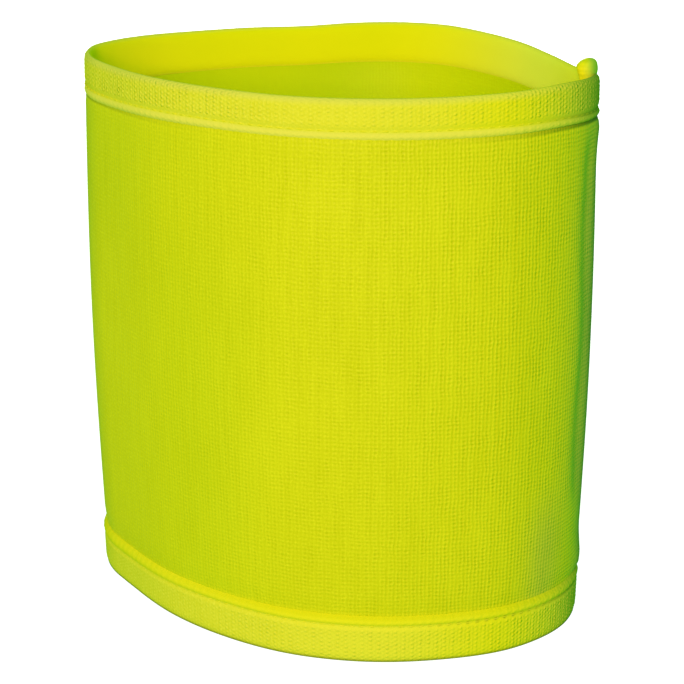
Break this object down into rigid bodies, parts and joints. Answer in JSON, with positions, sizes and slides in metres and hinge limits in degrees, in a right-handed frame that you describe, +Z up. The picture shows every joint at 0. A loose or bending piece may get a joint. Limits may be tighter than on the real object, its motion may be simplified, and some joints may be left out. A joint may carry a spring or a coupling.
{
  "type": "knitted armband",
  "caption": "Bright yellow-green knitted elastic armband: a soft oval tube with stitched turned hems at rim and foot, and a side seam that ends in a rounded nub above the rim.",
  "frame": {"origin": "on the floor under the middle of the tube's bounding box", "axes": "+Z up along the arm hole, +X across the widest way towards the side seam, -Y towards the front of the tube"},
  "size_m": [0.1407, 0.1133, 0.1546],
  "materials": {
    "body_knit": "fine plain knit, bright yellow-green",
    "hem_knit": "coarser knit, bright yellow-green",
    "seam_knit": "folded knit edge, bright yellow-green"
  },
  "bodies": {
    "root": {"sleeve": "body_knit", "top_hem": "hem_knit", "bottom_hem": "hem_knit", "side_seam": "seam_knit"}
  },
  "joints": []
}
